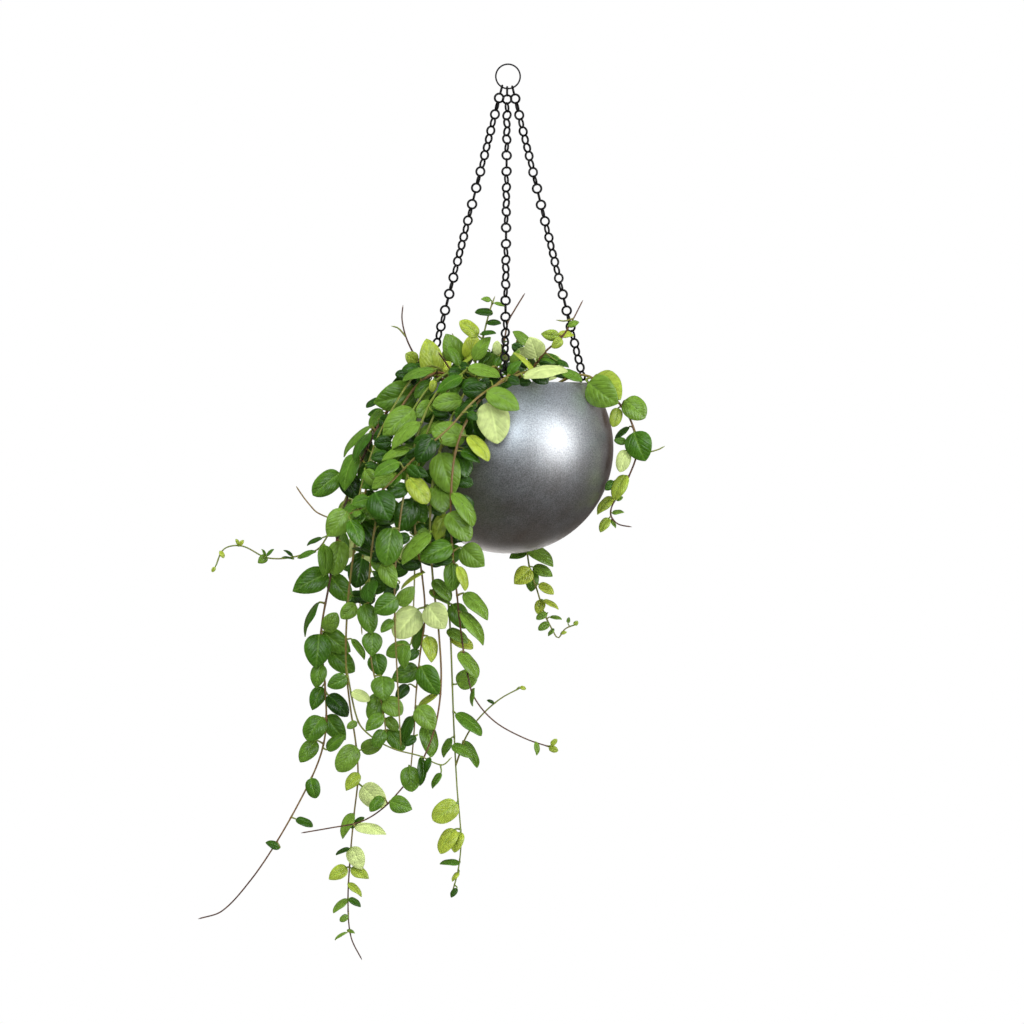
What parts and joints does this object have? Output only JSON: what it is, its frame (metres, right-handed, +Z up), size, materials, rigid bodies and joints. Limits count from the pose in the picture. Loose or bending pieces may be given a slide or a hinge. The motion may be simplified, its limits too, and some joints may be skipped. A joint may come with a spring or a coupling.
{
  "type": "hanging potted trailing plant",
  "caption": "Trailing vine with round fleshy leaves in a round metal pot that hangs by three link chains from one ring.",
  "frame": {"origin": "inside of the top of the hanging ring, where a hook carries it", "axes": "+Z up, -Y towards the viewer's side, where the foliage covers the pot's left half; +X to the viewer's right"},
  "size_m": [0.464, 0.2903, 0.8927],
  "materials": {
    "chain_metal": "satin near-black",
    "pot_metal": "satin gunmetal",
    "potting_mix": "matt, crumbly",
    "foliage": "waxy leaves, green to yellow-green"
  },
  "bodies": {
    "root": {"hanging_ring": "chain_metal", "chain_front": "chain_metal", "chain_right": "chain_metal", "chain_left": "chain_metal", "pot": "pot_metal", "soil": "potting_mix", "vine_left_long": "foliage", "vine_lowest": "foliage", "vine_inner_left": "foliage", "vine_inner_right": "foliage", "vine_middle": "foliage", "vine_middle_curl": "foliage", "vine_right_middle": "foliage", "vine_right_front": "foliage", "vine_diagonal": "foliage", "vine_shoulder": "foliage", "vine_back_left": "foliage", "vine_back": "foliage", "vine_behind_low": "foliage", "vine_right": "foliage", "shoot_tall_left": "foliage", "shoot_left": "foliage", "shoot_centre_left": "foliage", "shoot_centre": "foliage", "shoot_right": "foliage", "shoot_back": "foliage", "shoot_back_left": "foliage"}
  },
  "joints": []
}
